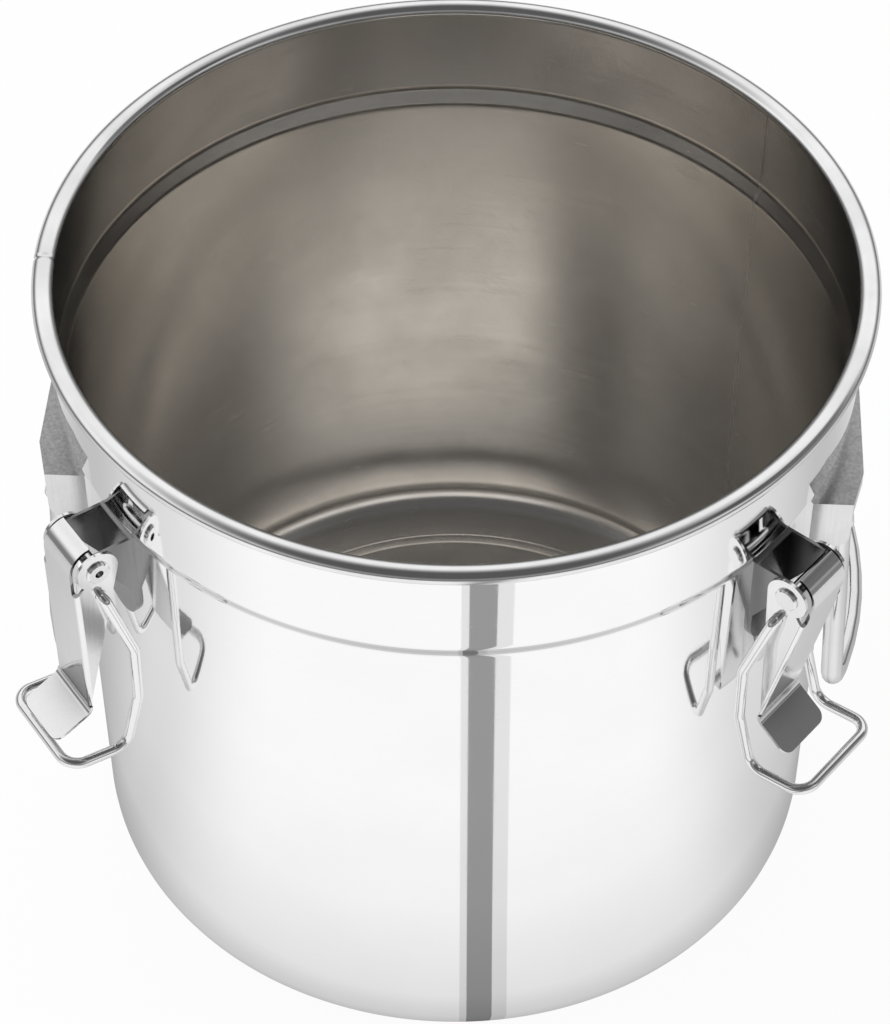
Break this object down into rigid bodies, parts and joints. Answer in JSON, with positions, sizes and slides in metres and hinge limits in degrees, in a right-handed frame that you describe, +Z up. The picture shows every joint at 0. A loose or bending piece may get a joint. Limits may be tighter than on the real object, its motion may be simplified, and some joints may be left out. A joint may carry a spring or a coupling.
{
  "type": "rice storage container",
  "caption": "Open round stainless steel rice drum with a stiffened rim, toggle latches with wire bails and folding side handles.",
  "frame": {"origin": "middle of the standing ring on the underside, on the drum's axis", "axes": "+Z up along the drum's axis, -Y to the front between the two latches that the picture shows, handles on +X and -X"},
  "size_m": [0.3166, 0.2998, 0.2757],
  "materials": {
    "polished_steel": "mirror-polished stainless sheet, faintly brushed inside",
    "rim_steel": "polished stainless bar",
    "latch_steel": "bright pressed stainless sheet",
    "wire_steel": "bright drawn wire",
    "rivet_steel": "satin rivet steel",
    "handle_steel": "bright bent rod"
  },
  "bodies": {
    "drum": {"side_wall": "polished_steel", "bottom_pan": "polished_steel", "rim_ring": "rim_steel", "latch_bracket_front_right": "latch_steel", "latch_rivet_front_right": "rivet_steel", "latch_bracket_front_left": "latch_steel", "latch_rivet_front_left": "rivet_steel", "latch_bracket_rear_right": "latch_steel", "latch_rivet_rear_right": "rivet_steel", "latch_bracket_rear_left": "latch_steel", "latch_rivet_rear_left": "rivet_steel", "handle_bracket_right": "latch_steel", "handle_pins_right": "rivet_steel", "handle_bracket_left": "latch_steel", "handle_pins_left": "rivet_steel"},
    "lever_front_right": {"latch_lever_front_right": "latch_steel"},
    "bail_front_right": {"wire_bail_front_right": "wire_steel"},
    "lever_front_left": {"latch_lever_front_left": "latch_steel"},
    "bail_front_left": {"wire_bail_front_left": "wire_steel"},
    "lever_rear_right": {"latch_lever_rear_right": "latch_steel"},
    "bail_rear_right": {"wire_bail_rear_right": "wire_steel"},
    "lever_rear_left": {"latch_lever_rear_left": "latch_steel"},
    "bail_rear_left": {"wire_bail_rear_left": "wire_steel"},
    "handle_right": {"drop_handle_right": "handle_steel"},
    "handle_left": {"drop_handle_left": "handle_steel"}
  },
  "joints": [
    {"name": "lever_front_right_swing", "type": "hinge", "parent": "drum", "child": "lever_front_right", "pos_m": [0.12579, -0.09479, 0.22], "axis": [-0.6018, -0.7986, 0], "range_deg": [0, 95]},
    {"name": "bail_front_right_swing", "type": "hinge", "parent": "lever_front_right", "child": "bail_front_right", "pos_m": [0.12379, -0.09328, 0.20826], "axis": [-0.6018, -0.7986, 0], "range_deg": [0, 88]},
    {"name": "lever_front_left_swing", "type": "hinge", "parent": "drum", "child": "lever_front_left", "pos_m": [-0.12579, -0.09479, 0.22], "axis": [-0.6018, 0.7986, 0], "range_deg": [0, 95]},
    {"name": "bail_front_left_swing", "type": "hinge", "parent": "lever_front_left", "child": "bail_front_left", "pos_m": [-0.12579, -0.09479, 0.208], "axis": [-0.6018, 0.7986, 0], "range_deg": [0, 88]},
    {"name": "lever_rear_right_swing", "type": "hinge", "parent": "drum", "child": "lever_rear_right", "pos_m": [0.12579, 0.09479, 0.22], "axis": [0.6018, -0.7986, 0], "range_deg": [0, 95]},
    {"name": "bail_rear_right_swing", "type": "hinge", "parent": "lever_rear_right", "child": "bail_rear_right", "pos_m": [0.12579, 0.09479, 0.208], "axis": [0.6018, -0.7986, 0], "range_deg": [0, 88]},
    {"name": "lever_rear_left_swing", "type": "hinge", "parent": "drum", "child": "lever_rear_left", "pos_m": [-0.12579, 0.09479, 0.22], "axis": [0.6018, 0.7986, 0], "range_deg": [0, 95]},
    {"name": "bail_rear_left_swing", "type": "hinge", "parent": "lever_rear_left", "child": "bail_rear_left", "pos_m": [-0.12579, 0.09479, 0.208], "axis": [0.6018, 0.7986, 0], "range_deg": [0, 88]},
    {"name": "handle_right_swing", "type": "hinge", "parent": "drum", "child": "handle_right", "pos_m": [0.13956, 0, 0.2105], "axis": [0, -1, 0], "range_deg": [0, 90]},
    {"name": "handle_left_swing", "type": "hinge", "parent": "drum", "child": "handle_left", "pos_m": [-0.13956, 0, 0.2105], "axis": [0, 1, 0], "range_deg": [0, 90]}
  ]
}
